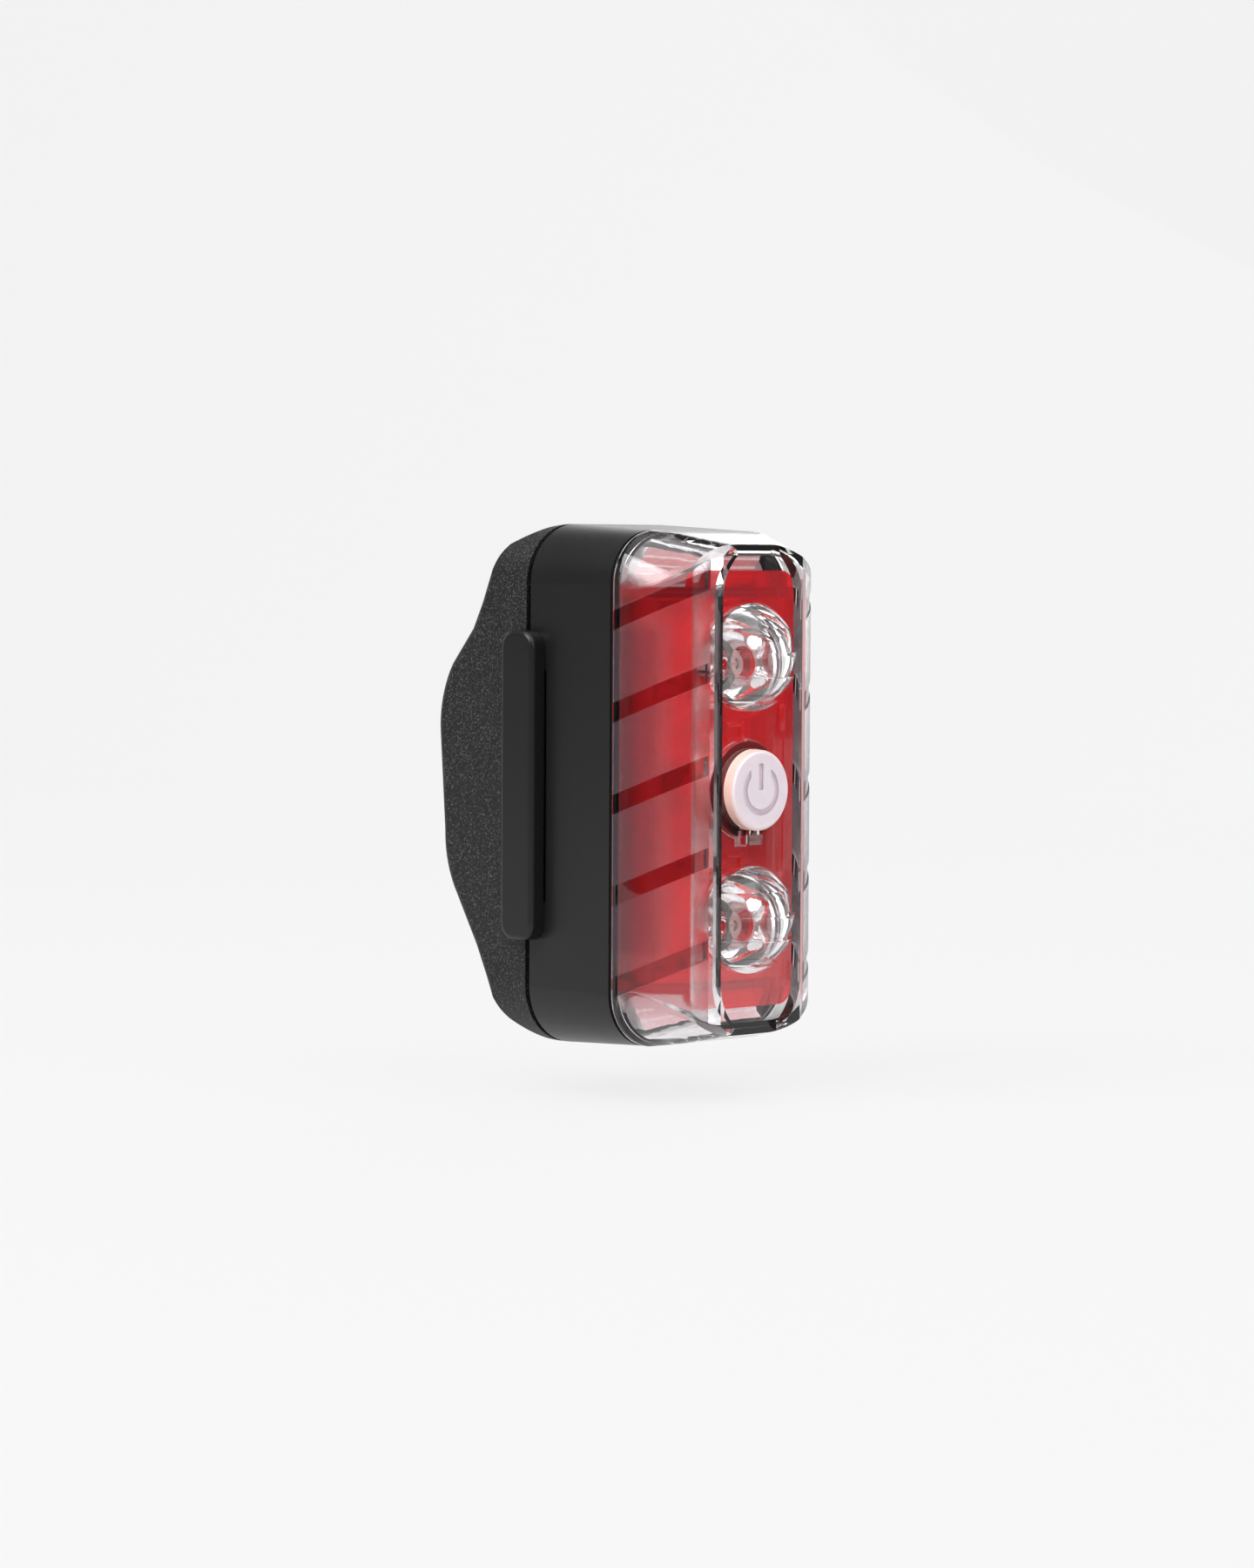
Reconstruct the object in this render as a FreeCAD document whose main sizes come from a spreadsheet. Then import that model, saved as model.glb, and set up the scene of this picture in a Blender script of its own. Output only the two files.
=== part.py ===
import FreeCAD, Part
import math
import os
import re

import Sketcher
from FreeCAD import Placement, Rotation, Vector

# Bike rear light for a seat post, in millimetres.
# The origin is on the post's axis, half-way up the light. +Z runs up the post, the light looks along -Y,
# and +X is on the right of someone who looks at the lens. Places along the light are given as "forward",
# the distance from the post's axis towards the lens, which is -Y.

doc = FreeCAD.newDocument("bike_light")
sheet = doc.addObject("Spreadsheet::Sheet", "Sizes")

# Each size is written once here. Text that starts with = is worked out from the others.
size_list = [
    # outline of the light
    ("body_height", 59.1, "height of the housing at its rear edge"),
    ("body_width", 26.8, "width across the flat sides"),
    ("corner_radius", 6.8, "corners of the outline, seen from the front"),
    ("front_drop", 0.7, "how much lower the top is at the front of the housing"),
    # post saddle and rear cover
    ("post_radius", 12.7, "seat post that the saddle fits"),
    ("saddle_web", 5.2, "from the saddle's lowest line to the cover's front face"),
    ("hump_depth", 15.6, "depth of the rear cover at its ears"),
    ("cover_cavity", 2.6, "depth of the hollow in the rear cover"),
    ("cover_edge", 1.2, "rounding of the rear cover's outer edges"),
    ("pad_thickness", 1.2, "rubber pad in the saddle"),
    ("pad_width", 19.0, "chord of the rubber pad"),
    ("pad_height", 25.0, "length of the rubber pad along the post"),
    # hook plate between cover and housing
    ("seam_gap", 0.7, "groove between the rear cover and the housing"),
    ("seam_inset", 1.0, "how deep the groove is"),
    ("plate_thickness", 1.5, "hook plate"),
    ("hook_height", 35.0, "length of each strap hook along the post"),
    ("hook_stand", 1.9, "how far a hook stands off the side"),
    ("hook_back", 3.0, "reach of a hook behind the housing's rear edge"),
    ("hook_front", 2.4, "reach of a hook in front of the housing's rear edge"),
    ("hook_corner", 2.0, "rounded ends of a hook"),
    ("strap_relief", 1.0, "depth of the relief in the housing behind each hook"),
    ("relief_height", 26.0, "length of that relief"),
    # housing
    ("housing_depth", 13.2, "main housing from rear edge to front edge"),
    ("wall", 1.5, "housing wall"),
    ("gasket_thickness", 0.5, "gasket between housing and lens"),
    ("gasket_inset", 0.25, "how far the gasket sits inside the outline"),
    ("gasket_width", 1.3, "width of the gasket's ring"),
    # lens
    ("lens_depth", 10.0, "lens from its rear edge to the wings' crest"),
    ("crest_half", 6.2, "half the width between the two crests"),
    ("shoulder_half", 7.35, "half the width between the outer edges of the bevels"),
    ("shoulder_drop", 0.8, "how far the outer edge of a bevel lies behind the crest"),
    ("strip_drop", 1.4, "how far the centre strip lies behind the crests"),
    ("lens_wall", 1.6, "lens wall"),
    ("top_break", 7.6, "how far forward the lens's top starts to curve down"),
    ("top_fall", 1.0, "fall of the lens's top up to there"),
    ("nose_margin", 3.3, "from the top of the light down to the lens's flat front"),
    ("corner_spare", 0.5, "how far the corner form stands outside the lens, 1 mm behind its rear edge"),
    ("corner_draw", 1.85, "how far the corner form lies inside the outline at the crest"),
    ("corner_round", 9.8, "corners of the lens at the crest, seen from the front"),
    ("stripe_pitch", 10.2, "spacing of the polished stripes on the wings"),
    ("stripe_height", 2.2, "one stripe, along the light's height"),
    ("stripe_slope", 0.42, "rise of a stripe over its run along the wing"),
    ("stripe_depth", 0.15, "engraving of a stripe"),
    ("stripe_left_margin", 8.45, "from the top of the light down to the left wing's first stripe"),
    ("stripe_right_margin", 7.35, "from the top of the light down to the right wing's first stripe"),
    # optics and button
    ("dome_margin", 14.9, "from the top or foot of the light to a dome's centre"),
    ("dome_radius", 6.15, "base of a dome"),
    ("dome_height", 4.0, "dome above the strip's floor"),
    ("dome_wall", 1.5, "wall of a dome over its hollow back"),
    ("dome_step", 2.7, "height of one band of a dome"),
    ("button_radius", 4.5, "power button"),
    ("button_gap", 0.08, "running gap round the button"),
    ("button_proud", 1.3, "how far the button stands out of the strip"),
    ("button_travel", 0.6, "travel of the button"),
    ("button_flange", 0.9, "width of the flange that keeps the button in"),
    # insides
    ("board_thickness", 1.2, "circuit board"),
    ("board_back", 3.3, "from the board's front face to the lens's rear edge"),
    ("board_half_width", 9.6, "half the width of the circuit board"),
    ("board_margin", 3.8, "from the top or foot of the light to the circuit board"),
    ("cell_thickness", 6.0, "lithium cell"),
    ("cell_width", 20.0, "lithium cell"),
    ("cell_margin", 12.0, "from the top or foot of the light to the cell"),
    ("foam_thickness", 0.8, "foam pad behind the cell"),
    ("filter_margin", 7.0, "from the top or foot of the light to the red filter"),
    ("filter_half_width", 10.2, "half the width of the red filter"),
    ("filter_wall", 1.2, "red filter wall"),
    ("filter_lip", 1.85, "how far the red front plate stands out above and below its box"),
    ("filter_gap", 0.5, "from the red filter to the back of the strip"),
    # fastening
    ("screw_x", 8.0, "screws from the middle line"),
    ("screw_margin", 7.0, "from the top or foot of the light to a screw"),
    ("screw_radius", 1.0, "shank of a screw"),
    ("screw_head_radius", 1.9, "head of a screw"),
    ("screw_head", 1.4, "height of a screw's head"),
    ("screw_length", 7.6, "shank under the head"),
    ("head_seat", 3.2, "from the cover's front face to the seat of a head"),
    ("board_screw_length", 3.6, "shank of a board screw under its head"),
    ("board_screw_head", 0.8, "height of a board screw's head"),
    ("boss_radius", 2.4, "screw bosses in the housing"),
    ("hook_edge", 0.6, "rounding of a hook's outer edges"),
    ("tray_thickness", 1.0, "reflector tray"),
    ("rib_rise", 0.75, "rise of one rib of the tray"),
    ("rib_pitch", 1.0, "spacing of the tray's ribs"),
    ("front_chamfer", 2.6, "chamfer of the red filter's front corners"),
    ("optic_radius", 5.7, "front rim of a condenser"),
    ("optic_foot", 3.3, "skirt of a condenser"),
    ("led_side", 3.0, "main LED's package"),
    ("led_thick", 0.7, "main LED's package"),
    ("side_led_size", 1.3, "side LED"),
    ("side_led_pitch", 7.2, "spacing of the side LEDs"),
    ("side_led_x", 7.4, "side LEDs from the middle line"),
    ("flange_thickness", 0.8, "flange of the button"),
    ("post_thickness", 1.5, "radius of the button's post"),
    ("icon_radius", 2.8, "ring of the power symbol"),
    ("icon_stroke", 0.72, "line width of the power symbol"),
    ("icon_depth", 0.25, "depth of the power symbol"),
    ("switch_side", 4.6, "tactile switch"),
    ("switch_height", 1.5, "tactile switch's case"),
    ("switch_top", 2.3, "top of the switch's stem above the board"),
    ("stem_radius", 0.9, "switch's stem"),
    ("pipe_proud", 0.5, "how far the light pipe stands out of the strip"),
    # charge port and its door
    ("plug_height", 1.65, "plug on the door's inner face"),
    ("port_width", 8.9, "charge socket's shell"),
    ("port_depth", 3.2, "charge socket's shell, front to rear"),
    ("port_length", 7.3, "charge socket's shell, along its axis"),
    ("sill_height", 2.3, "thicker foot of the housing round the port"),
    ("door_width", 12.0, "port door"),
    ("door_depth", 6.2, "port door, front to rear"),
    ("door_thickness", 0.9, "port door"),
    ("door_outer_drop", 0.65, "from the housing's rear foot line up to the door's outer face"),
    ("anchor_depth", 2.2, "fixed end of the door's rubber, front to rear"),
    ("anchor_stud", 0.9, "stud that holds the fixed end"),
    ("dome_tilt", 1.3, "how far the curve of each band below the first is lifted"),
    ("strip_narrow", 3.9, "half the width of the strip over the top"),
    ("turn_margin", 8.0, "from the top or foot of the light to where the strip narrows"),
    ("top_round", 3.6, "rounding between the lens's top and front"),
    ("pipe_width", 2.0, "indicator light pipe"),
    ("pipe_high", 1.1, "indicator light pipe"),
    ("pipe_place", 5.55, "indicator light pipe below the middle"),
]

derived_list = [
    ("half_height", "=body_height / 2", "half the height at the rear"),
    ("front_half", "=half_height - nose_margin", "half the height of the lens's flat front"),
    ("stripe_left_top", "=half_height - stripe_left_margin",
     "first stripe of the left wing at its middle"),
    ("stripe_right_top", "=half_height - stripe_right_margin",
     "first stripe of the right wing at its middle"),
    ("dome_place", "=half_height - dome_margin", "each dome's centre above or below the middle"),
    ("board_half_height", "=half_height - board_margin", "half the height of the circuit board"),
    ("cell_height", "=body_height - 2 * cell_margin", "lithium cell"),
    ("filter_half_height", "=half_height - filter_margin", "half the height of the red filter"),
    ("screw_z", "=half_height - screw_margin", "screws above and below the middle"),
    ("strip_turn", "=half_height - turn_margin", "where the strip starts to narrow"),
    ("cover_front", "=post_radius + saddle_web", "front face of the rear cover"),
    ("housing_rear", "=cover_front + seam_gap", "rear face of the housing"),
    ("housing_front", "=housing_rear + housing_depth", "front edge of the housing"),
    ("lens_rear", "=housing_front + gasket_thickness", "rear edge of the lens"),
    ("lens_front", "=lens_rear + lens_depth", "crest of the wings"),
    ("strip_front", "=lens_front - strip_drop", "floor of the centre strip"),
    ("strip_back", "=strip_front - lens_wall", "inside of the centre strip"),
    ("board_front", "=lens_rear - board_back", "front face of the circuit board"),
    ("board_rear", "=board_front - board_thickness", "rear face of the circuit board"),
    ("port_rear", "=board_rear - port_depth", "rear face of the charge socket"),
    ("door_outer", "=door_outer_drop - body_height / 2", "height of the door's outer face"),
    ("door_inner", "=door_outer + door_thickness", "height of the door's inner face"),
    ("door_rear", "=port_rear - 0.9", "rear end of the door"),
    ("half_width", "=body_width / 2", "half the width"),
    ("port_mouth", "=1.6 + door_inner", "mouth of the charge socket"),
    ("filter_rear", "=board_front + tray_thickness", "rear rim of the red filter"),
    ("optic_front", "=strip_back - 0.12", "front rim of the condensers"),
    ("cell_middle", "=housing_rear + wall + foam_thickness + cell_thickness / 2", "middle of the cell"),
    ("wing_width", "=half_width - shoulder_half", "width of a wing, seen from the front"),
    ("wing_depth", "=lens_depth - shoulder_drop", "depth of a wing"),
    ("wing_radius", "=(wing_width ^ 2 + wing_depth ^ 2) / (2 * wing_width)",
     "curve of a wing, seen from above"),
    ("front_height", "=body_height - 2 * front_drop", "height at the lens seam"),
]

row = 0
for alias, value, note in size_list + derived_list:
    row += 1
    sheet.set(f"A{row}", note)
    sheet.set(f"B{row}", str(value))
    sheet.setAlias(f"B{row}", alias)
doc.recompute()

aliases = [entry[0] for entry in size_list + derived_list]
alias_pattern = re.compile(r"\b(" + "|".join(sorted(aliases, key=len, reverse=True)) + r")\b")


def bound(expression):
    """An expression written with bare aliases, as the document's objects read it."""
    return alias_pattern.sub(r"Sizes.\1", str(expression))


def number(expression):
    """The present value of such an expression."""
    result = sheet.evalExpression(bound(expression))
    return float(getattr(result, "Value", result))


def new_body(name):
    body = doc.addObject("PartDesign::Body", name)
    body.Label = name
    return body


def bend(start, end, radius, side):
    """An arc from start to end. side is 1 where it bulges to the left of the way, -1 to the right."""
    chord = end - start
    middle = (start + end) * 0.5
    left = Vector(-chord.y, chord.x, 0).normalize()
    sagitta = radius - math.sqrt(max(radius**2 - (chord.Length / 2) ** 2, 0))
    return Part.Arc(start, middle + left * (sagitta * side), end)


def outline(body, name, plane, rings, forward="0"):
    """A sketch of closed rings on one of the body's own planes. A ring is a list of (x, y) expressions;
    a third and fourth entry (radius, side) make the edge that leaves this point an arc."""
    sketch = body.newObject("Sketcher::SketchObject", name)
    origin_plane = [f for f in body.Origin.OriginFeatures if f.Role == plane][0]
    sketch.AttachmentSupport = [(origin_plane, "")]
    sketch.MapMode = "FlatFace"
    sketch.setExpression("AttachmentOffset.Base.z", bound(forward))
    for ring in rings:
        corners = [Vector(number(p[0]), number(p[1]), 0) for p in ring]
        first = sketch.GeometryCount
        count = len(ring)
        for k, point in enumerate(ring):
            start, end = corners[k], corners[(k + 1) % count]
            if len(point) > 2:
                edge = bend(start, end, number(point[2]), point[3])
                sketch.addGeometry(edge, False)
            else:
                sketch.addGeometry(Part.LineSegment(start, end), False)
        starts = []
        for k in range(count):
            ends = end_names(sketch, first + k, corners[k])
            starts.append(ends)
        for k in range(count):
            here, after = first + k, first + (k + 1) % count
            sketch.addConstraint(
                Sketcher.Constraint("Coincident", here, starts[k][1], after, starts[(k + 1) % count][0])
            )
        for k, point in enumerate(ring):
            for kind, text in (("DistanceX", point[0]), ("DistanceY", point[1])):
                pin(sketch, Sketcher.Constraint(kind, -1, 1, first + k, starts[k][0], number(text)), text)
            if len(point) > 2:
                pin(sketch, Sketcher.Constraint("Radius", first + k, number(point[2])), point[2])
    return sketch


def end_names(sketch, index, corner):
    """Which end of an edge is at the corner, and which is the other one."""
    if sketch.getPoint(index, 1).distanceToPoint(corner) < 1e-6:
        return (1, 2)
    return (2, 1)


def pin(sketch, constraint, expression):
    at = sketch.addConstraint(constraint)
    sketch.setExpression(f"Constraints[{at}]", bound(expression))


def circles(body, name, plane, discs, forward="0"):
    """A sketch of circles, each (x, y, radius)."""
    sketch = body.newObject("Sketcher::SketchObject", name)
    origin_plane = [f for f in body.Origin.OriginFeatures if f.Role == plane][0]
    sketch.AttachmentSupport = [(origin_plane, "")]
    sketch.MapMode = "FlatFace"
    sketch.setExpression("AttachmentOffset.Base.z", bound(forward))
    for x, y, radius in discs:
        at = sketch.addGeometry(Part.Circle(Vector(number(x), number(y), 0), Vector(0, 0, 1),
                                            number(radius)), False)
        pin(sketch, Sketcher.Constraint("DistanceX", -1, 1, at, 3, number(x)), x)
        pin(sketch, Sketcher.Constraint("DistanceY", -1, 1, at, 3, number(y)), y)
        pin(sketch, Sketcher.Constraint("Radius", at, number(radius)), radius)
    return sketch


def rounded(width, height, radius, x="0", y="0"):
    """The ring of a rounded rectangle, centred on (x, y)."""
    w, t, r = f"({width}) / 2", f"({height}) / 2", f"({radius})"
    return [
        (f"{x} - {w}", f"{y} - {t} + {r}", r, -1),
        (f"{x} - {w} + {r}", f"{y} - {t}"),
        (f"{x} + {w} - {r}", f"{y} - {t}", r, -1),
        (f"{x} + {w}", f"{y} - {t} + {r}"),
        (f"{x} + {w}", f"{y} + {t} - {r}", r, -1),
        (f"{x} + {w} - {r}", f"{y} + {t}"),
        (f"{x} - {w} + {r}", f"{y} + {t}", r, -1),
        (f"{x} - {w}", f"{y} + {t} - {r}"),
    ]


def plain(width, height, x="0", y="0"):
    """The ring of a plain rectangle, centred on (x, y)."""
    w, t = f"({width}) / 2", f"({height}) / 2"
    return [
        (f"{x} - {w}", f"{y} - {t}"),
        (f"{x} + {w}", f"{y} - {t}"),
        (f"{x} + {w}", f"{y} + {t}"),
        (f"{x} - {w}", f"{y} + {t}"),
    ]


def pad(body, sketch, length, midplane=False, back=False):
    doc.recompute()
    feature = body.newObject("PartDesign::Pad", sketch.Name + "_pad")
    feature.Profile = sketch
    feature.setExpression("Length", bound(length))
    feature.Midplane = midplane
    feature.Reversed = back
    doc.recompute()
    return feature


def loft(body, name, first, last):
    """Straight-sided form from one sketch to the next."""
    doc.recompute()
    feature = body.newObject("PartDesign::AdditiveLoft", name)
    feature.Profile = first
    feature.Sections = [last]
    feature.Ruled = True
    doc.recompute()
    return feature


def pocket(body, sketch, length=None, midplane=False, ahead=False):
    """Cuts against the sketch's normal, or along it with ahead; without a length, through all."""
    doc.recompute()
    before = body.Shape.Volume
    feature = body.newObject("PartDesign::Pocket", sketch.Name + "_cut")
    feature.Profile = sketch
    if length is None:
        feature.Type = "ThroughAll"
    else:
        feature.setExpression("Length", bound(length))
    feature.Midplane = midplane
    feature.Reversed = ahead
    doc.recompute()
    if not body.Shape.Volume < before - 1e-6:
        raise RuntimeError(f"{feature.Name} cuts nothing")
    return feature


def round_edges(body, name, radius, wanted):
    """Rounds the edges of the body's tip for which wanted(edge) is true."""
    doc.recompute()
    base = body.Tip
    names = [f"Edge{k + 1}" for k, edge in enumerate(base.Shape.Edges) if wanted(edge)]
    if not names:
        raise RuntimeError(f"{name} finds no edge")
    feature = body.newObject("PartDesign::Fillet", name)
    feature.Base = (base, names)
    feature.setExpression("Radius", bound(radius))
    doc.recompute()
    return feature


def solid(kind, name, x="0", forward="0", z="0", turn=(), **sizes):
    """A primitive whose sizes and place are bound to the sheet. It points forward with turn ahead."""
    thing = doc.addObject("Part::" + kind, name)
    if turn:
        thing.Placement = Placement(Vector(), Rotation(Vector(*turn[:3]), turn[3]))
    for key, text in sizes.items():
        thing.setExpression(key, bound(text))
    for axis, text in (("x", x), ("y", f"-({forward})"), ("z", z)):
        thing.setExpression("Placement.Base." + axis, bound(text))
    return thing


ahead = (1, 0, 0, 90)


def block(name, width, depth, height, x="0", rear="0", low="0"):
    """A box centred on x, from its rear forward by depth, and from low upwards."""
    return solid(
        "Box", name, f"{x} - ({width}) / 2", f"{rear} + {depth}", low, (), Length=width, Width=depth,
        Height=height
    )


def rod(name, radius, length, x="0", rear="0", z="0"):
    """A cylinder that points forward from its rear."""
    return solid("Cylinder", name, x, rear, z, ahead, Radius=radius, Height=length)


def join(name, *things):
    fused = doc.addObject("Part::MultiFuse", name)
    fused.Shapes = list(things)
    doc.recompute()
    return fused


def cut(name, base, *tools):
    """base without the tools."""
    doc.recompute()
    tool = tools[0] if len(tools) == 1 else join(name + "_tools", *tools)
    result = doc.addObject("Part::Cut", name)
    result.Base = base
    result.Tool = tool
    doc.recompute()
    return result


def common(name, *things):
    shared = doc.addObject("Part::MultiCommon", name)
    shared.Shapes = list(things)
    doc.recompute()
    return shared


def group(name, *things):
    """Separate solids that share one node."""
    together = doc.addObject("Part::Compound", name)
    together.Links = list(things)
    doc.recompute()
    return together


def named(name, thing):
    thing.Label = name
    return thing


corners = [(sx, sz) for sx in ("-", "") for sz in ("-", "")]


def at_corners():
    """The four screw places, as (x, z) expressions."""
    return [(f"{sx}screw_x" if sx else "screw_x", f"{sz}screw_z" if sz else "screw_z") for sx, sz in corners]


def rear_cover():
    """Shell behind the hook plate: a hump with two ears that straddle the seat post."""
    body = new_body("rear_cover_body")
    hump = [
        ("0", "half_height", 0),
        ("1.2", "half_height - 0.35", 0),
        ("hump_depth * 0.30", "half_height - 2.3", 0),
        ("hump_depth * 0.42", "half_height - 5.0", 0),
        ("hump_depth * 0.53", "half_height - 8.9", 0),
        ("hump_depth * 0.63", "half_height - 11.8", 0),
        ("hump_depth * 0.86", "half_height - 15.9", 13),
        ("hump_depth", "half_height - 24.0", 0),
        ("hump_depth * 0.945", "-half_height + 23.8", 13),
        ("hump_depth * 0.80", "-half_height + 16.2", 0),
        ("hump_depth * 0.58", "-half_height + 10.6", 0),
        ("hump_depth * 0.47", "-half_height + 7.2", 0),
        ("hump_depth * 0.40", "-half_height + 4.8", 0),
        ("hump_depth * 0.27", "-half_height + 2.6", 0),
        ("1.2", "-half_height + 0.35", 0),
        ("0", "-half_height", 0),
    ]
    ring = []
    for behind, height, radius in hump:
        point = (f"{behind} - cover_front", height)
        ring.append(point if not radius else point + (abs(radius), 1 if radius > 0 else -1))
    pad(body, outline(body, "cover_side", "YZ_Plane", [ring]), "body_width", midplane=True)
    round_edges(body, "cover_rounding", "cover_edge", is_outer_edge)
    edge = [
        plain("body_width + 20", "body_height + 20"),
        rounded("body_width", "body_height", "corner_radius"),
    ]
    pocket(body, outline(body, "cover_trim", "XZ_Plane", edge, forward="cover_front"))
    pocket(body, circles(body, "post_space", "XY_Plane", [("0", "0", "post_radius")]), "body_height * 2",
           midplane=True)
    seat = [rounded("body_width - 2 * seam_inset", "body_height - 2 * seam_inset",
                    "corner_radius - seam_inset")]
    plate_seat = outline(body, "plate_seat", "XZ_Plane", seat, forward="cover_front")
    pocket(body, plate_seat, "plate_thickness - seam_gap", ahead=False)
    hollow = [rounded("body_width - 6.5", "2 * (screw_z - 4.2)", "2.0")]
    pocket(body, outline(body, "cover_hollow", "XZ_Plane", hollow, forward="cover_front"), "cover_cavity",
           ahead=False)
    heads = [(x, z, "screw_head_radius + 0.2") for x, z in at_corners()]
    shanks = [(x, z, "screw_radius + 0.15") for x, z in at_corners()]
    sink = circles(body, "head_sinks", "XZ_Plane", heads, forward="cover_front - head_seat")
    pocket(body, sink, "hump_depth", ahead=False)
    pocket(body, circles(body, "shank_holes", "XZ_Plane", shanks, forward="cover_front"), "hump_depth",
           ahead=False)
    doc.recompute()
    return named("rear_cover", cut("rear_cover_shape", body, pad_form("pad_space")))


def is_outer_edge(edge):
    """The edges along the hump on both flat sides, and not those at the seam."""
    box = edge.BoundBox
    along_side = box.XLength < 1e-6 and abs(abs(box.XMin) - number("half_width")) < 1e-6
    return along_side and box.YMax > 1.3 - number("cover_front")


def pad_form(name):
    """The rubber pad's form: a slice of a tube round the post, as wide as pad_width."""
    tube = solid("Cylinder", name + "_tube", z="-pad_height / 2", Radius="post_radius + pad_thickness",
                 Height="pad_height")
    bore = solid("Cylinder", name + "_bore", z="-pad_height", Radius="post_radius", Height="pad_height * 2")
    slab = block(name + "_slab", "pad_width", "post_radius * 2", "pad_height", rear="0",
                 low="-pad_height / 2")
    ring = cut(name + "_ring", tube, bore)
    return common(name, ring, slab)


def saddle_pad():
    return named("saddle_pad", pad_form("saddle_pad_shape"))


def hook_plate():
    """Plate in the seam with a strap hook on each side."""
    body = new_body("hook_plate_body")
    edge = [
        rounded(
            "body_width - 2 * seam_inset - 0.1", "body_height - 2 * seam_inset - 0.1",
            "corner_radius - seam_inset"
        ),
        rounded("body_width - 11", "2 * (screw_z - 5)", "2.0"),
    ]
    pad(body, outline(body, "plate_edge", "XZ_Plane", edge, forward="housing_rear - plate_thickness"),
        "plate_thickness")
    shanks = [(x, z, "screw_radius + 0.15") for x, z in at_corners()]
    pocket(body, circles(body, "plate_holes", "XZ_Plane", shanks, forward="housing_rear"),
           "plate_thickness * 2")
    hooks = []
    for side, sign in (("left", "-"), ("right", "")):
        bar = new_body(f"hook_{side}")
        face = [
            rounded("hook_back + hook_front", "hook_height", "hook_corner",
                    x="(hook_back - hook_front) / 2 - housing_rear")
        ]
        reach = outline(bar, f"hook_face_{side}", "YZ_Plane", face, forward=f"{sign}(half_width + 0.05)")
        pad(bar, reach, "hook_stand", back=bool(sign))
        round_edges(bar, f"hook_rounding_{side}", "hook_edge", hook_outer_edge)
        arm = block(
            f"hook_arm_{side}",
            "seam_inset + 1.2",
            "seam_gap",
            "hook_height - 3",
            x=f"{sign}(half_width - seam_inset / 2 + 0.1)",
            rear="cover_front",
            low="-(hook_height - 3) / 2",
        )
        hooks += [bar, arm]
    return named("hook_plate", join("hook_plate_shape", body, *hooks))


def hook_outer_edge(edge):
    box = edge.BoundBox
    return box.XLength < 1e-6 and abs(box.XMin) > number("half_width") + 1


def cover_screws():
    made = []
    for k, (x, z) in enumerate(at_corners()):
        head = rod(f"screw_head_{k}", "screw_head_radius", "screw_head", x,
                   "cover_front - head_seat - screw_head", z)
        shank = rod(f"screw_shank_{k}", "screw_radius", "screw_length", x, "cover_front - head_seat", z)
        drive = solid(
            "Prism",
            f"screw_drive_{k}",
            x,
            "cover_front - head_seat - screw_head",
            z,
            ahead,
            Circumradius="screw_head_radius * 0.45",
            Height="screw_head * 0.6",
        )
        made.append(cut(f"cover_screw_{k}", join(f"screw_whole_{k}", head, shank), drive))
    return named("cover_screws", group("cover_screws_group", *made))


def main_housing():
    """Tub that holds the cell and the board; open towards the lens, with the charge port in its foot."""
    body = new_body("main_housing_body")
    rear_edge = [rounded("body_width", "body_height", "corner_radius")]
    front_edge = [rounded("body_width", "front_height", "corner_radius - front_drop")]
    first = outline(body, "housing_rear_edge", "XZ_Plane", rear_edge, forward="housing_rear")
    last = outline(body, "housing_front_edge", "XZ_Plane", front_edge, forward="housing_front")
    loft(body, "housing_form", first, last)
    inside = [rounded("body_width - 2 * wall", "front_height - 2 * wall",
                      "corner_radius - wall - front_drop")]
    hollow = outline(body, "housing_hollow", "XZ_Plane", inside, forward="housing_front")
    pocket(body, hollow, "housing_depth - wall")
    for side, sign in (("left", "-"), ("right", "")):
        relief = outline(
            body,
            f"strap_relief_{side}",
            "YZ_Plane",
            [
                [
                    ("1 - housing_rear", "-relief_height / 2 - 1.5"),
                    ("1 - housing_rear", "relief_height / 2 + 1.5"),
                    ("-housing_rear - hook_front - 0.3", "relief_height / 2"),
                    ("-housing_rear - hook_front - 0.3", "-relief_height / 2"),
                ]
            ],
            forward=f"{sign}(half_width + 1)",
        )
        pocket(body, relief, "strap_relief * 0.5 + 1", ahead=bool(sign))
    bosses = [rod(f"housing_boss_{k}", "boss_radius", "board_rear - housing_rear - wall", x,
                  "housing_rear + wall", z)
              for k, (x, z) in enumerate(at_corners())]
    sill = block(
        "port_sill", "door_width + 3", "board_rear - housing_rear - wall", "sill_height",
        rear="housing_rear + wall", low="-front_height / 2 + wall - 0.3",
    )
    holes = [rod(f"cover_pilot_{k}", "screw_radius + 0.02",
                 "screw_length - head_seat + 0.4 - seam_gap + 0.7", x, "housing_rear", z)
             for k, (x, z) in enumerate(at_corners())]
    holes += [rod(f"board_pilot_{k}", "screw_radius + 0.02", "board_screw_length + 0.4", x,
                  "board_rear - board_screw_length - 0.4", z)
              for k, (x, z) in enumerate(at_corners())]
    door_space = block(
        "door_space", "door_width + 0.2", "door_depth + anchor_depth + 0.3", "5",
        rear="door_rear - anchor_depth - 0.15", low="door_inner - 5 + 0.05",
    )
    slot = block("port_slot", "port_width + 0.5", "port_depth + 0.7", "8",
                 rear="port_rear - 0.35", low="-half_height")
    stud_hole = solid("Cylinder", "anchor_hole", "0", "door_rear - anchor_depth / 2", "door_inner",
                      Radius="anchor_stud + 0.02", Height="1.2")
    return named("main_housing", cut("main_housing_shape", join("housing_solid", body, *bosses, sill),
                                     *holes, door_space, slot, stud_hole))


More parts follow.
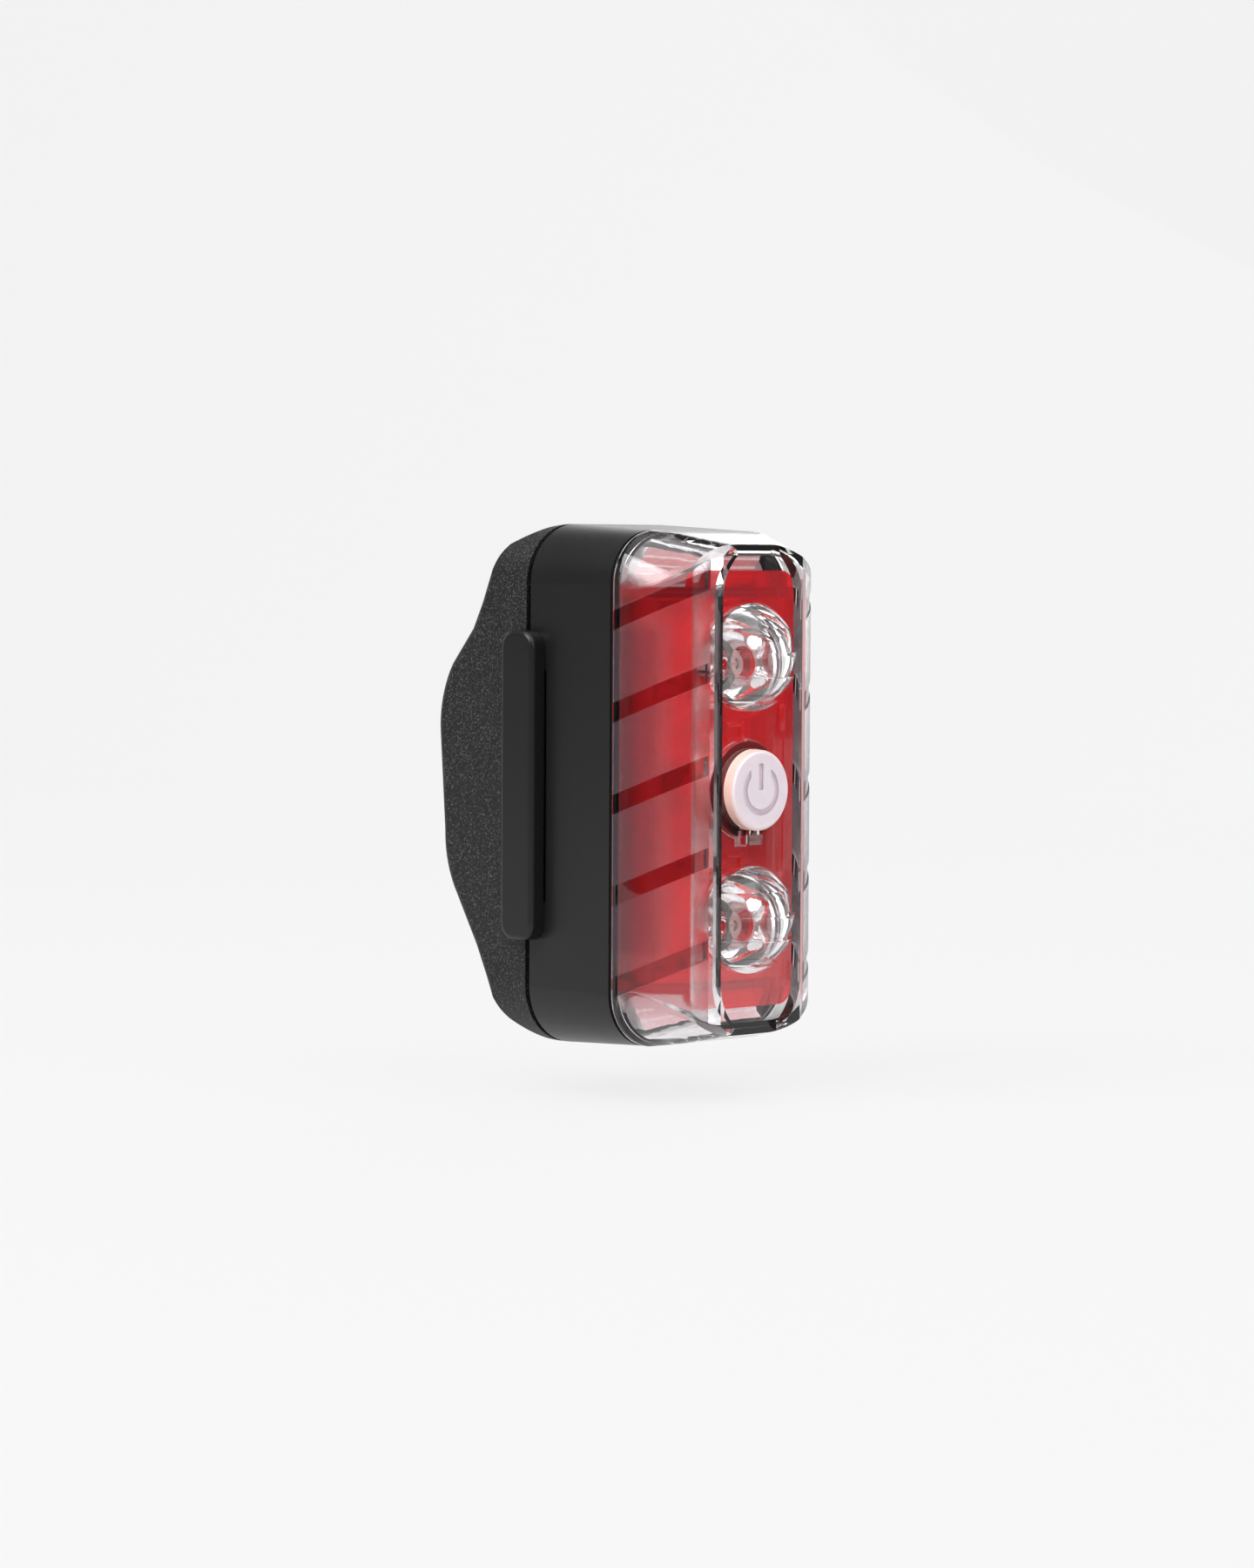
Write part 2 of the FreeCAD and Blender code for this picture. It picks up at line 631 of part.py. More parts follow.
def lens_gasket():
    body = new_body("lens_gasket_body")
    ring = [
        rounded("body_width - 2 * gasket_inset", "front_height - 2 * gasket_inset",
                "corner_radius - front_drop - gasket_inset"),
        rounded(
            "body_width - 2 * (gasket_inset + gasket_width)",
            "front_height - 2 * (gasket_inset + gasket_width)",
            "corner_radius - front_drop - gasket_inset - gasket_width",
        ),
    ]
    pad(body, outline(body, "gasket_ring", "XZ_Plane", ring, forward="housing_front"), "gasket_thickness")
    return named("lens_gasket", body)


def lens_form(name, inset):
    """The lens's outer form, or with an inset its hollow: plan, side and front outlines in one solid."""
    body = new_body(name)
    deep = "lens_rear" if inset == "0" else "(lens_rear - 1)"
    front = "lens_front" if inset == "0" else "strip_back"
    centre = "(half_width - wing_radius)"
    reach = f"(wing_radius - {inset})"
    if inset == "0":
        half = [
            ("half_width", "-lens_rear", "wing_radius", 1),
            ("shoulder_half", "-(lens_front - shoulder_drop)"),
            ("crest_half", "-lens_front"),
            ("-crest_half", "-lens_front"),
            ("-shoulder_half", "-(lens_front - shoulder_drop)", "wing_radius", 1),
            ("-half_width", "-lens_rear"),
        ]
    else:
        end = f"({centre} + sqrt({reach} ^ 2 - (strip_back - lens_rear) ^ 2))"
        half = [
            (f"half_width - {inset}", f"-{deep}"),
            (f"half_width - {inset}", "-lens_rear", reach, 1),
            (end, "-strip_back"),
            (f"-{end}", "-strip_back", reach, 1),
            (f"-(half_width - {inset})", "-lens_rear"),
            (f"-(half_width - {inset})", f"-{deep}"),
        ]
    pad(body, outline(body, name + "_plan", "XY_Plane", [half], forward="0"), "body_height", midplane=True)
    top = f"(front_height / 2 - {inset})"
    fall = f"({top} - top_fall)"
    nose = f"(front_half - {inset})"
    ring = [
        (f"-{deep}", f"-{top}"),
        ("-lens_rear", f"-{top}"),
        ("-(lens_rear + top_break)", f"-{fall}"),
        (f"-{front}", f"-{nose}"),
        (f"-{front}", nose),
        ("-(lens_rear + top_break)", fall),
        ("-lens_rear", top),
        (f"-{deep}", top),
    ]
    if inset == "0":
        ring = ring[1:-1]
        ring[1] = ring[1] + ("top_round", 1)
        ring[3] = ring[3] + ("top_round", 1)
    else:
        ring = [ring[0], ring[1], (f"-{front}", f"-{top} + top_fall"), (f"-{front}", f"{top} - top_fall"),
                ring[6], ring[7]]
    sides = outline(body, name + "_side", "YZ_Plane",
                    [plain("100", "body_height + 20", x="-lens_rear"), ring])
    pocket(body, sides, "body_width + 10", midplane=True)
    edge = [
        plain("body_width + 20", "body_height + 20"),
        rounded(f"body_width - 2 * {inset}", f"front_height - 2 * {inset}",
                f"corner_radius - front_drop - {inset}"),
    ]
    pocket(body, outline(body, name + "_edge", "XZ_Plane", edge, forward="lens_front + 5"), "lens_depth * 3")
    return common(name + "_whole", body, lens_corners(name + "_corners", inset))


def lens_corners(name, inset):
    """A form that rounds the lens at its four corners, more and more towards the crest."""
    body = new_body(name)
    shapes = []
    for place, grow, radius in (
        ("lens_rear - 1", "corner_spare", "corner_radius - front_drop"),
        ("lens_front", "-corner_draw", "corner_round"),
    ):
        wide = f"body_width + 2 * ({grow} - {inset})"
        high = f"front_height + 2 * ({grow} - {inset})"
        ring = rounded(wide, high, f"{radius} - {inset}")
        shapes.append(outline(body, f"{name}_{len(shapes)}", "XZ_Plane", [ring], forward=place))
    loft(body, name + "_form", *shapes)
    return body


def dome(name, place):
    """One condenser dome: bands that each stand out at their upper edge, like a saw's teeth."""
    ball = "((dome_radius ^ 2 + dome_height ^ 2) / (2 * dome_height))"
    deep = f"(strip_front + dome_height - {ball})"
    limits = ["dome_radius", "dome_step * 1.25", "dome_step * 0.25", "-dome_step * 0.75",
              "-dome_step * 1.75", "-dome_radius"]
    bands = []
    for k in range(len(limits) - 1):
        high, low = limits[k], limits[k + 1]
        tilt = "dome_tilt" if k else "0"
        reach = f"sqrt(({high} - {tilt}) ^ 2 + {ball} ^ 2 - ({high}) ^ 2)"
        sphere = solid("Sphere", f"{name}_ball_{k}", "0", deep, f"{place} + {tilt}", (), Radius=reach)
        slice_box = block(f"{name}_slice_{k}", "4 * dome_radius", "3 * dome_radius", f"({high}) - ({low})",
                          rear="strip_front - lens_wall / 2", low=f"{place} + {low}")
        bands.append(common(f"{name}_band_{k}", sphere, slice_box))
    column = rod(f"{name}_column", "dome_radius", "3 * dome_radius", "0", "strip_front - lens_wall / 2",
                 place)
    return common(f"{name}_form", join(f"{name}_stack", *bands), column)


def dome_hollow(name, place):
    """The round hollow at a dome's back, which leaves a wall of even thickness."""
    ball = "((dome_radius ^ 2 + dome_height ^ 2) / (2 * dome_height))"
    deep = f"(strip_front + dome_height - {ball})"
    return solid("Sphere", f"dome_hollow_{name}", "0", deep, place, (), Radius=f"{ball} - dome_wall")


def stripes():
    """Five slanting bands on each wing, engraved as deep as stripe_depth."""
    skin = new_body("stripe_skin")
    start, end = "0.6", "(wing_depth - 0.25)"
    centre, reach = "(half_width - wing_radius)", "(wing_radius - stripe_depth)"
    rings = []
    for sign, side in (("", 1), ("-", -1)):
        near = f"{sign}({centre} + sqrt({reach} ^ 2 - {start} ^ 2))"
        far = f"{sign}({centre} + sqrt({reach} ^ 2 - {end} ^ 2))"
        rings.append(
            [
                (near, f"-(lens_rear + {start})", reach, side),
                (far, f"-(lens_rear + {end})"),
                (f"{sign}(half_width + 1)", f"-(lens_rear + {end})"),
                (f"{sign}(half_width + 1)", f"-(lens_rear + {start})"),
            ]
        )
    pad(skin, outline(skin, "stripe_plan", "XY_Plane", rings), "body_height", midplane=True)
    slants = []
    for name, sign, top in (("left", "-", "stripe_left_top"), ("right", "", "stripe_right_top")):
        bands = []
        for k in range(5):
            middle = f"{top} - stripe_pitch * {k}"
            bands.append(
                [
                    (run, f"{middle} + stripe_slope * ({run}) {half} stripe_height / 2")
                    for run, half in (("-wing_depth", "-"), ("wing_depth", "-"), ("wing_depth", "+"),
                                      ("-wing_depth", "+"))
                ]
            )
        slant = new_body(f"stripe_slant_{name}")
        sketch = outline(slant, f"stripe_rows_{name}", "XZ_Plane", bands,
                         forward="lens_rear + wing_depth / 2")
        sketch.AttachmentOffset = Placement(Vector(), Rotation(Vector(0, -1 if sign else 1, 0), 50))
        sketch.setExpression("AttachmentOffset.Base.x", bound(f"{sign}(half_width + shoulder_half) / 2"))
        sketch.setExpression("AttachmentOffset.Rotation.Angle", bound("atan(wing_depth / wing_width)"))
        pad(slant, sketch, "wing_width", midplane=True)
        slants.append(slant)
    return common("stripe_forms", skin, join("stripe_slants", *slants))


def outer_lens():
    """Clear lens with two curved wings, a recessed centre strip and two condenser domes."""
    outside = lens_form("lens_outside", "0")
    inside = lens_form("lens_inside", "lens_wall")
    strip = new_body("strip_space")
    wide, narrow = "crest_half", "strip_narrow"
    ring = [
        (f"-{narrow}", "-half_height"),
        (narrow, "-half_height"),
        (narrow, "-(strip_turn + 4.5)", "6", -1),
        (wide, "-strip_turn"),
        (wide, "strip_turn", "6", -1),
        (narrow, "strip_turn + 4.5"),
        (narrow, "half_height"),
        (f"-{narrow}", "half_height"),
        (f"-{narrow}", "strip_turn + 4.5", "6", -1),
        (f"-{wide}", "strip_turn"),
        (f"-{wide}", "-strip_turn", "6", -1),
        (f"-{narrow}", "-(strip_turn + 4.5)"),
    ]
    pad(strip, outline(strip, "strip_ring", "XZ_Plane", [ring], forward="strip_front"), "lens_depth")
    shell = cut("lens_shell", outside, inside, strip)
    solid_lens = join("lens_solid", shell, dome("dome_upper", "dome_place"),
                      dome("dome_lower", "-dome_place"))
    bore = rod("button_bore", "button_radius + button_gap", "lens_depth", "0", "strip_back - 1", "0")
    key = block("pipe_bore", "pipe_width + 0.04", "lens_depth", "pipe_high + 0.5",
                rear="strip_back - 1", low="-pipe_place - pipe_high / 2 - 0.02")
    hollows = [dome_hollow("upper", "dome_place"), dome_hollow("lower", "-dome_place")]
    return named("outer_lens", cut("outer_lens_shape", solid_lens, bore, key, stripes(), *hollows))


def circuit_board():
    body = new_body("circuit_board_body")
    edge = [rounded("2 * board_half_width + 1.6", "2 * board_half_height", "1.5")]
    pad(body, outline(body, "board_edge", "XZ_Plane", edge, forward="board_rear"), "board_thickness")
    holes = [(x, z, "screw_radius + 0.1") for x, z in at_corners()]
    pocket(body, circles(body, "board_holes", "XZ_Plane", holes, forward="board_front"),
           "board_thickness * 2")
    return named("circuit_board", body)


def board_screws():
    made = []
    for k, (x, z) in enumerate(at_corners()):
        head = rod(f"board_head_{k}", "screw_head_radius - 0.1", "board_screw_head", x, "board_front", z)
        shank = rod(f"board_shank_{k}", "screw_radius", "board_screw_length", x,
                    "board_front - board_screw_length", z)
        drive = solid(
            "Prism", f"board_drive_{k}", x, "board_front + board_screw_head * 0.3", z, ahead,
            Circumradius="screw_head_radius * 0.45", Height="board_screw_head",
        )
        made.append(cut(f"board_screw_{k}", join(f"board_screw_whole_{k}", head, shank), drive))
    return named("board_screws", group("board_screws_group", *made))


def reflector_tray():
    """White tray on the board, with a stair of bright ribs at each end."""
    body = new_body("reflector_tray_body")
    edge = [
        rounded("body_width - 2 * wall - 0.5", "front_height - 2 * wall - 0.5",
                "corner_radius - front_drop - wall - 0.25"),
        rounded("2 * (filter_half_width - filter_wall - 0.4)",
                "2 * (filter_half_height - filter_wall - 0.4)", "1.0"),
    ]
    pad(body, outline(body, "tray_edge", "XZ_Plane", edge, forward="board_front"), "tray_thickness")
    for side, sign in (("low", "-"), ("high", "")):
        ring = [(f"-(board_front + tray_thickness / 2)", f"{sign}(filter_half_height + 0.3)")]
        for k in range(4):
            level = f"(board_front + tray_thickness + rib_rise * {k + 1})"
            ring.append((f"-({level} - rib_rise)", f"{sign}(filter_half_height + 0.3 + rib_pitch * {k})"))
            ring.append((f"-{level}", f"{sign}(filter_half_height + 0.3 + rib_pitch * {k + 0.7})"))
        ring[1] = (f"-(board_front + tray_thickness)", f"{sign}(filter_half_height + 0.3)")
        ring.append(("-(board_front + tray_thickness / 2)",
                     f"{sign}(filter_half_height + 0.3 + rib_pitch * 3.7)"))
        stair = outline(body, f"tray_stair_{side}", "YZ_Plane", [ring])
        pad(body, stair, "body_width - 2 * corner_radius + 4", midplane=True)
    holes = [(x, z, "screw_head_radius + 0.1") for x, z in at_corners()]
    pocket(body, circles(body, "tray_holes", "XZ_Plane", holes, forward="board_front + tray_thickness"),
           "tray_thickness")
    return named("reflector_tray", body)


def red_filter():
    """Red inner box behind the lens, with round openings for the optics and the button."""
    body = new_body("red_filter_body")
    front = "(strip_back - filter_gap)"
    slope = "(front_chamfer)"
    half = [
        ("filter_half_width", "-filter_rear"),
        ("filter_half_width", f"-({front} - {slope} * 1.25)"),
        (f"filter_half_width - {slope}", f"-{front}"),
        (f"-(filter_half_width - {slope})", f"-{front}"),
        ("-filter_half_width", f"-({front} - {slope} * 1.25)"),
        ("-filter_half_width", "-filter_rear"),
    ]
    pad(body, outline(body, "filter_plan", "XY_Plane", [half]), "2 * filter_half_height", midplane=True)
    inner = [
        ("filter_half_width - filter_wall", "-filter_rear + 1"),
        ("filter_half_width - filter_wall", f"-({front} - {slope} * 1.25 - filter_wall * 0.4)"),
        (f"filter_half_width - filter_wall - {slope} + 0.3", f"-({front} - filter_wall)"),
        (f"-(filter_half_width - filter_wall - {slope} + 0.3)", f"-({front} - filter_wall)"),
        ("-(filter_half_width - filter_wall)", f"-({front} - {slope} * 1.25 - filter_wall * 0.4)"),
        ("-(filter_half_width - filter_wall)", "-filter_rear + 1"),
    ]
    pocket(body, outline(body, "filter_hollow", "XY_Plane", [inner]),
           "2 * (filter_half_height - filter_wall)", midplane=True)
    discs = [("0", "dome_place", "optic_radius + 0.25"), ("0", "-dome_place", "optic_radius + 0.25"),
             ("0", "0", "button_radius + button_flange + 0.3")]
    pocket(body, circles(body, "filter_openings", "XZ_Plane", discs, forward=front), "filter_wall * 2")
    rims = []
    for name, place in (("upper", "dome_place"), ("lower", "-dome_place")):
        tube = rod(f"rim_{name}", "optic_radius + 0.25 + filter_wall * 0.7", "3", "0", f"{front} - 3", place)
        hole = rod(f"rim_hole_{name}", "optic_radius + 0.25", "6", "0", f"{front} - 4", place)
        rims.append(cut(f"filter_rim_{name}", tube, hole))
    plate = new_body("filter_plate_body")
    face = [rounded(f"2 * (filter_half_width - {slope})", "2 * (filter_half_height + filter_lip)", "2")]
    pad(plate, outline(plate, "filter_plate", "XZ_Plane", face, forward=f"{front} - filter_wall"),
        "filter_wall")
    openings = circles(plate, "plate_openings", "XZ_Plane", discs, forward=front)
    pocket(plate, openings, "filter_wall * 2")
    whole = join("filter_solid", body, plate, *rims)
    notch = block("pipe_notch", "pipe_width + 1", "filter_wall * 3", "pipe_high + 1.5",
                  rear=f"{front} - filter_wall * 2",
                  low="-pipe_place - pipe_high / 2 - 0.3")
    return named("red_filter", cut("red_filter_shape", whole, notch))


def condenser(name, place):
    """Clear condenser that gathers a main LED's light, standing on the board by its skirt."""
    body = new_body(f"condenser_{name}_body")
    r, top = "optic_radius", "optic_front"
    ring = [
        ("optic_foot - 0.6", "board_front"),
        ("optic_foot", "board_front"),
        ("optic_foot", "board_front + 2.2", "14", -1),
        (r, f"{top} - 0.9"),
        (r, top),
        ("1.9", top),
        ("1.6", f"{top} - 1.6", "2.6", 1),
        ("0.02", f"{top} - 1.1"),
        ("0.02", "board_front + 4.4", "2.4", -1),
        ("1.7", "board_front + 3.6"),
        ("optic_foot - 0.6", "board_front + 1.6"),
    ]
    profile = outline(body, f"condenser_{name}_ring", "XY_Plane",
                      [[(p[0], f"-({p[1]})") + ((p[2], -p[3]) if len(p) > 2 else ()) for p in ring]],
                      forward=place)
    doc.recompute()
    turned = body.newObject("PartDesign::Revolution", f"condenser_{name}_turned")
    turned.Profile = profile
    turned.ReferenceAxis = (profile, ["V_Axis"])
    turned.Angle = 360
    doc.recompute()
    return named(f"condenser_{name}", body)


def main_led(name, place):
    """Main LED: square package with a small clear dome."""
    package = block(f"led_package_{name}", "led_side", "led_thick", "led_side", rear="board_front",
                    low=f"{place} - led_side / 2")
    ball = solid("Sphere", f"led_ball_{name}", "0", "board_front + led_thick", place, (),
                 Radius="led_side * 0.42")
    half = block(f"led_half_{name}", "led_side", "led_side", "led_side", rear="board_front + led_thick / 2",
                 low=f"{place} - led_side / 2")
    return named(f"main_led_{name}", join(f"main_led_{name}_shape", package,
                                          common(f"led_dome_{name}", ball, half)))


def side_leds(name, sign):
    made = []
    for k in range(4):
        low = f"side_led_pitch * {k - 1.5} - side_led_size / 2"
        made.append(block(f"side_led_{name}_{k}", "side_led_size", "side_led_size * 0.6", "side_led_size",
                          x=f"{sign}side_led_x", rear="board_front", low=low))
    return named(f"side_leds_{name}", group(f"side_leds_{name}_group", *made))


def power_button():
    """Milky button that slides in the lens; its flange keeps it in, and its post works the switch."""
    cap = rod("button_cap", "button_radius", "strip_front + button_proud - strip_back", "0", "strip_back",
              "0")
    body = doc.addObject("Part::Chamfer", "button_cap_soft")
    doc.recompute()
    top = number("strip_front + button_proud")
    rounds = [(k + 1, e.Curve) for k, e in enumerate(cap.Shape.Edges) if hasattr(e.Curve, "Center")]
    rim = [k for k, curve in rounds if abs(curve.Center.y + top) < 1e-3]
    body.Base = cap
    body.Edges = [(k, 0.35, 0.35) for k in rim]
    doc.recompute()
    flange = rod("button_flange_disc", "button_radius + button_flange", "flange_thickness", "0",
                 "strip_back - flange_thickness", "0")
    post = rod("button_post", "post_thickness", "strip_back - board_front - switch_top", "0",
               "board_front + switch_top", "0")
    ring = rod("icon_ring", "icon_radius", "2", "0", "strip_front + button_proud - icon_depth", "0")
    hole = rod("icon_ring_hole", "icon_radius - icon_stroke", "3", "0",
               "strip_front + button_proud - icon_depth - 1", "0")
    gap = block("icon_gap", "icon_radius * 1.1", "4", "icon_radius * 2",
                rear="strip_front + button_proud - 2", low="0")
    arc = cut("icon_arc", ring, hole, gap)
    bar = block("icon_bar", "icon_stroke", "2", "icon_radius * 1.05",
                rear="strip_front + button_proud - icon_depth", low="icon_radius * 0.02")
    notch = block("flange_notch", "pipe_width + 0.8", "flange_thickness + 1", "4",
                  rear="strip_back - flange_thickness - 1", low="-button_radius - 4 - 0.05")
    whole = join("button_whole", body, flange, post)
    return named("power_button", cut("power_button_shape", whole, arc, bar, notch))


def switch():
    """Tactile switch under the button: a case on the board and a stem that moves."""
    case = block("switch_block", "switch_side", "switch_height", "switch_side", rear="board_front",
                 low="-switch_side / 2")
    well = rod("switch_well", "stem_radius + 0.06", "switch_height", "0", "board_front + 0.25", "0")
    stem = rod("stem_rod", "stem_radius", "switch_top - 0.3 - button_travel", "0",
               "board_front + 0.3 + button_travel", "0")
    return [named("switch_case", cut("switch_case_shape", case, well)), named("switch_stem", stem)]


def indicator():
    """Small clear light pipe below the button and the LED behind it."""
    pipe = block("indicator_pipe_block", "pipe_width", "strip_front + pipe_proud - board_front - 0.8",
                 "pipe_high",
                 rear="board_front + 0.8", low="-pipe_place - pipe_high / 2")
    lamp = block("indicator_led_block", "1.6", "0.7", "0.8", rear="board_front", low="-pipe_place - 0.4")
    return [named("indicator_pipe", pipe), named("indicator_led", lamp)]


def battery():
    """Lithium cell in its foam, with the small protection board and leads at its upper end."""
    body = new_body("lithium_cell_body")
    edge = [rounded("cell_width", "cell_thickness", "cell_thickness / 2 - 0.4",
                    y="-(housing_rear + wall + foam_thickness + cell_thickness / 2)")]
    pad(body, outline(body, "cell_edge", "XY_Plane", edge), "cell_height", midplane=True)
    foam = block("foam_block", "cell_width - 4", "foam_thickness", "cell_height - 4",
                 rear="housing_rear + wall", low="-(cell_height - 4) / 2")
    guard = block("guard_block", "cell_width - 9", "1.0", "1.8",
                  rear="cell_middle - 0.5", low="cell_height / 2")
    leads = []
    for name, sign in (("red", "-"), ("black", "")):
        leads.append(rod(f"lead_{name}", "0.55", "board_rear - cell_middle - 0.5", f"{sign}2.2",
                         "cell_middle + 0.5", "cell_height / 2 + 0.9"))
    return [
        named("lithium_cell", body),
        named("cell_foam", foam),
        named("cell_guard_board", guard),
        named("cell_leads", group("cell_leads_group", *leads)),
    ]


def charge_socket():
    body = new_body("charge_socket_body")
    centre = "-(port_rear + port_depth / 2)"
    edge = [rounded("port_width", "port_depth", "port_depth / 2 - 0.1", y=centre)]
    pad(body, outline(body, "socket_edge", "XY_Plane", edge, forward="port_mouth"), "port_length")
    mouth = [rounded("port_width - 0.6", "port_depth - 0.6", "port_depth / 2 - 0.4", y=centre)]
    pocket(body, outline(body, "socket_mouth", "XY_Plane", mouth, forward="port_mouth"), "port_length - 1",
           ahead=True)
    tongue = block("socket_tongue", "port_width - 2.4", "0.7", "port_length - 1.6",
                   rear="port_rear + port_depth / 2 - 0.35", low="port_mouth + 0.6")
    return [named("charge_socket", body), named("socket_tongue", tongue)]


def port_door():
    """Rubber door over the charge socket, turning on its own thin hinge; its plug enters the slot."""
    slab = block("door_slab", "door_width", "door_depth - door_thickness / 2", "door_thickness",
                 rear="door_rear + door_thickness / 2", low="door_outer")
    knuckle = solid("Cylinder", "door_knuckle", "-door_width / 2", "door_rear + door_thickness / 2",
                    "door_outer + door_thickness / 2", (0, 1, 0, 90), Radius="door_thickness / 2",
                    Height="door_width")
    plug = block("door_plug", "port_width - 0.4", "port_depth - 0.6", "plug_height",
                 rear="port_rear + 0.3", low="door_outer + door_thickness / 2")
    grip = block("door_grip", "door_width * 0.5", "0.7", "0.5 + door_thickness / 2",
                 rear="door_rear + door_depth - 1.2", low="door_outer - 0.35")
    anchor = block("anchor_slab", "door_width", "anchor_depth - 0.1", "door_thickness",
                   rear="door_rear - anchor_depth", low="door_outer")
    stud = solid("Cylinder", "anchor_pin", "0", "door_rear - anchor_depth / 2", "door_inner - 0.2",
                 Radius="anchor_stud", Height="1.3")
    return [
        named("port_door", join("port_door_shape", slab, knuckle, plug, grip)),
        named("door_anchor", join("door_anchor_shape", anchor, stud)),
    ]


pieces = [rear_cover(), saddle_pad(), hook_plate(), cover_screws(), main_housing(), lens_gasket(),
          outer_lens()]
pieces += [circuit_board(), board_screws(), reflector_tray(), red_filter()]
pieces += [condenser("upper", "dome_place"), condenser("lower", "-dome_place")]
pieces += [main_led("upper", "dome_place"), main_led("lower", "-dome_place")]
pieces += [side_leds("left", "-"), side_leds("right", "")]
pieces += [power_button(), *switch(), *indicator(), *battery(), *charge_socket(), *port_door()]

doc.recompute()
for thing in doc.Objects:
    if "Invalid" in thing.State or "Error" in thing.State:
        raise RuntimeError(f"{thing.Name} failed: {thing.State}")
os.makedirs("parts", exist_ok=True)
for piece in pieces:
    if piece.Shape.isNull() or not piece.Shape.isValid():
        raise RuntimeError(f"{piece.Label} has no valid shape")
    piece.Shape.exportStep(f"parts/{piece.Label}.step")
    size = piece.Shape.optimalBoundingBox(True, False)
    print(f"{piece.Label}: {size.XLength:.2f} x {size.YLength:.2f} x {size.ZLength:.2f} mm")
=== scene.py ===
import math

import bmesh
import bpy
from mathutils import Matrix, Vector


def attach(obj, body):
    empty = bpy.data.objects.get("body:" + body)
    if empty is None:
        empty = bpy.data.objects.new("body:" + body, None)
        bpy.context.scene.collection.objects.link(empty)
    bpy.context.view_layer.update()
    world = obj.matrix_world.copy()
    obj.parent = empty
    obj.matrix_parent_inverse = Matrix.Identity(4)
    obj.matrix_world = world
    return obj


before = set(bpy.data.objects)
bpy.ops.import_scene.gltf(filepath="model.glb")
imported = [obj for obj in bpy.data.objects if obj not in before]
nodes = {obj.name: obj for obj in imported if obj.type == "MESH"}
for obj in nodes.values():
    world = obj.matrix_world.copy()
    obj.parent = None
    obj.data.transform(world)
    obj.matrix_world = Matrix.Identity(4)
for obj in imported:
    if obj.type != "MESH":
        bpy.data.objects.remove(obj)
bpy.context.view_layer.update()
mm = 0.001
noiseRange = (0.3, 0.7)  # where most values of a noise texture lie
plasticIndex = 1.49  # how strongly the clear plastics bend light
print("frame loaded:", len(nodes), "nodes")


# Small helpers for node trees. Positions are the object's own coordinates, in millimetres.
def newFinish(name):
    finish = bpy.data.materials.new(name)
    finish.use_nodes = True
    return finish, finish.node_tree, finish.node_tree.nodes["Principled BSDF"]


def plug(tree, source, socket):
    if hasattr(source, "is_output"):
        tree.links.new(source, socket)
    else:
        socket.default_value = source


def sums(tree, operation, *values):
    step = tree.nodes.new("ShaderNodeMath")
    step.operation = operation
    for value, socket in zip(values, step.inputs):
        plug(tree, value, socket)
    return step.outputs[0]


def places(tree):
    coords = tree.nodes.new("ShaderNodeTexCoord")
    scaled = tree.nodes.new("ShaderNodeVectorMath")
    scaled.operation = "SCALE"
    scaled.inputs["Scale"].default_value = 1000
    tree.links.new(coords.outputs["Object"], scaled.inputs[0])
    split = tree.nodes.new("ShaderNodeSeparateXYZ")
    tree.links.new(scaled.outputs[0], split.inputs[0])
    return scaled.outputs[0], split.outputs


def noise(tree, where, perMm, detail=3.0, roughness=0.55):
    texture = tree.nodes.new("ShaderNodeTexNoise")
    tree.links.new(where, texture.inputs["Vector"])
    texture.inputs["Scale"].default_value = perMm
    texture.inputs["Detail"].default_value = detail
    texture.inputs["Roughness"].default_value = roughness
    return texture.outputs["Fac"]


def spread(tree, value, low, high, outLow=0.0, outHigh=1.0):
    remap = tree.nodes.new("ShaderNodeMapRange")
    for socket, number in zip(remap.inputs, (value, low, high, outLow, outHigh)):
        plug(tree, number, socket)
    return remap.outputs[0]


def blendColour(tree, amount, first, second):
    mix = tree.nodes.new("ShaderNodeMix")
    mix.data_type = "RGBA"
    plug(tree, amount, mix.inputs[0])
    for value, socket in ((first, mix.inputs[6]), (second, mix.inputs[7])):
        plug(tree, value if hasattr(value, "is_output") else (*value, 1), socket)
    return mix.outputs[2]


def relief(tree, shader, height, depthMm, strength=1.0):
    bump = tree.nodes.new("ShaderNodeBump")
    bump.inputs["Strength"].default_value = strength
    bump.inputs["Distance"].default_value = depthMm * mm
    plug(tree, height, bump.inputs["Height"])
    tree.links.new(bump.outputs[0], shader.inputs["Normal"])


def dress(finish, *names):
    for name in names:
        nodes[name].data.materials.clear()
        nodes[name].data.materials.append(finish)


# Moulded plastic and rubber: a fine grain in colour, gloss and relief, over broad changes of gloss.
wear = {"perMm": 0.12, "gloss": 0.02}


def mouldedFinish(name, look):
    finish, tree, shader = newFinish(name)
    where, (_, _, z) = places(tree)
    fine = noise(tree, where, look["grainPerMm"])
    broad = noise(tree, where, wear["perMm"], 2.0)
    tone = blendColour(tree, spread(tree, fine, *look["specks"]), look["dark"], look["light"])
    shader.inputs["Roughness"].default_value = look["roughness"]
    gloss = sums(tree, "ADD", spread(tree, fine, *noiseRange, -look["glossSpread"], look["glossSpread"]),
                 spread(tree, broad, *noiseRange, look["roughness"] - wear["gloss"],
                        look["roughness"] + wear["gloss"]))
    tree.links.new(tone, shader.inputs["Base Color"])
    tree.links.new(gloss, shader.inputs["Roughness"])
    shader.inputs["Specular IOR Level"].default_value = look["specular"]
    height = fine
    if "ribPitch" in look:
        wave = sums(tree, "SINE", sums(tree, "MULTIPLY", z, 2 * math.pi / look["ribPitch"]))
        height = sums(tree, "ADD", sums(tree, "MULTIPLY", wave, look["ribShare"]), fine)
    relief(tree, shader, height, look["grainDepth"])
    return finish


